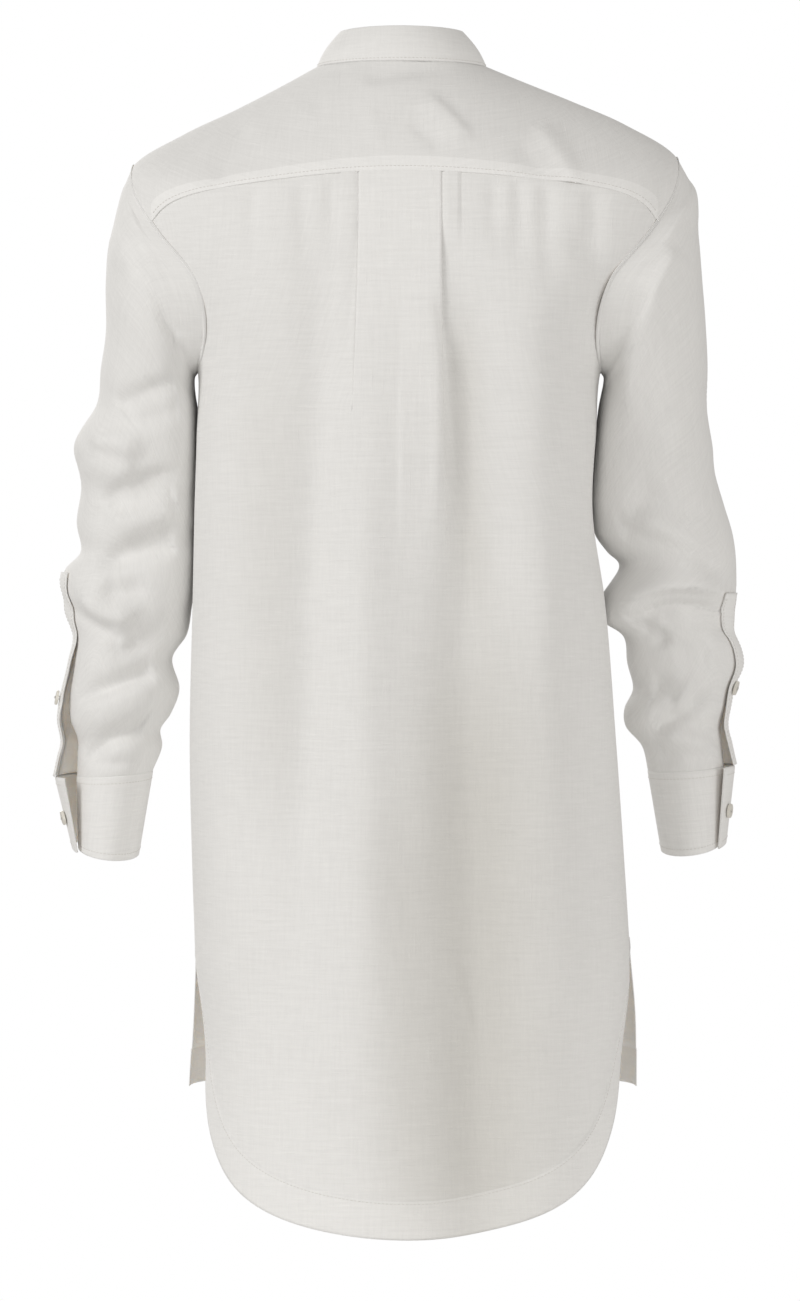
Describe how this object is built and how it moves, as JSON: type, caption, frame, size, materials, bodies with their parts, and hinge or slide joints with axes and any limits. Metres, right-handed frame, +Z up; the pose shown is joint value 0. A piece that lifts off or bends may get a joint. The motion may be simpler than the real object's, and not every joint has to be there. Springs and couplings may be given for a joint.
{
  "type": "long linen blouse",
  "caption": "Long-sleeved linen tunic blouse with a stand collar, back yoke, centre box pleat, curved longer back hem, side slits and buttoned cuffs, filled out as worn with no wearer",
  "frame": {"origin": "between the shoulders, level with the foot of the collar at the back, where the garment is held", "axes": "+Z up, the front faces -Y, +X is the wearer's left"},
  "size_m": [0.5378, 0.2775, 0.9189],
  "materials": {
    "linen": "off-white plain-weave linen with fine slubs, matt",
    "button": "shell-like, satin"
  },
  "bodies": {
    "root": {"yoke": "linen", "back": "linen", "front": "linen", "placket_over": "linen", "placket_under": "linen", "collar_band": "linen", "sleeve_left": "linen", "sleeve_right": "linen", "cuff_left": "linen", "cuff_right": "linen", "sleeve_placket_left": "linen", "sleeve_placket_right": "linen", "button_collar": "button", "button_front_1": "button", "button_front_2": "button", "button_front_3": "button", "button_front_4": "button", "button_sleeve_left": "button", "button_sleeve_right": "button", "button_cuff_left": "button", "button_cuff_right": "button"}
  },
  "joints": []
}
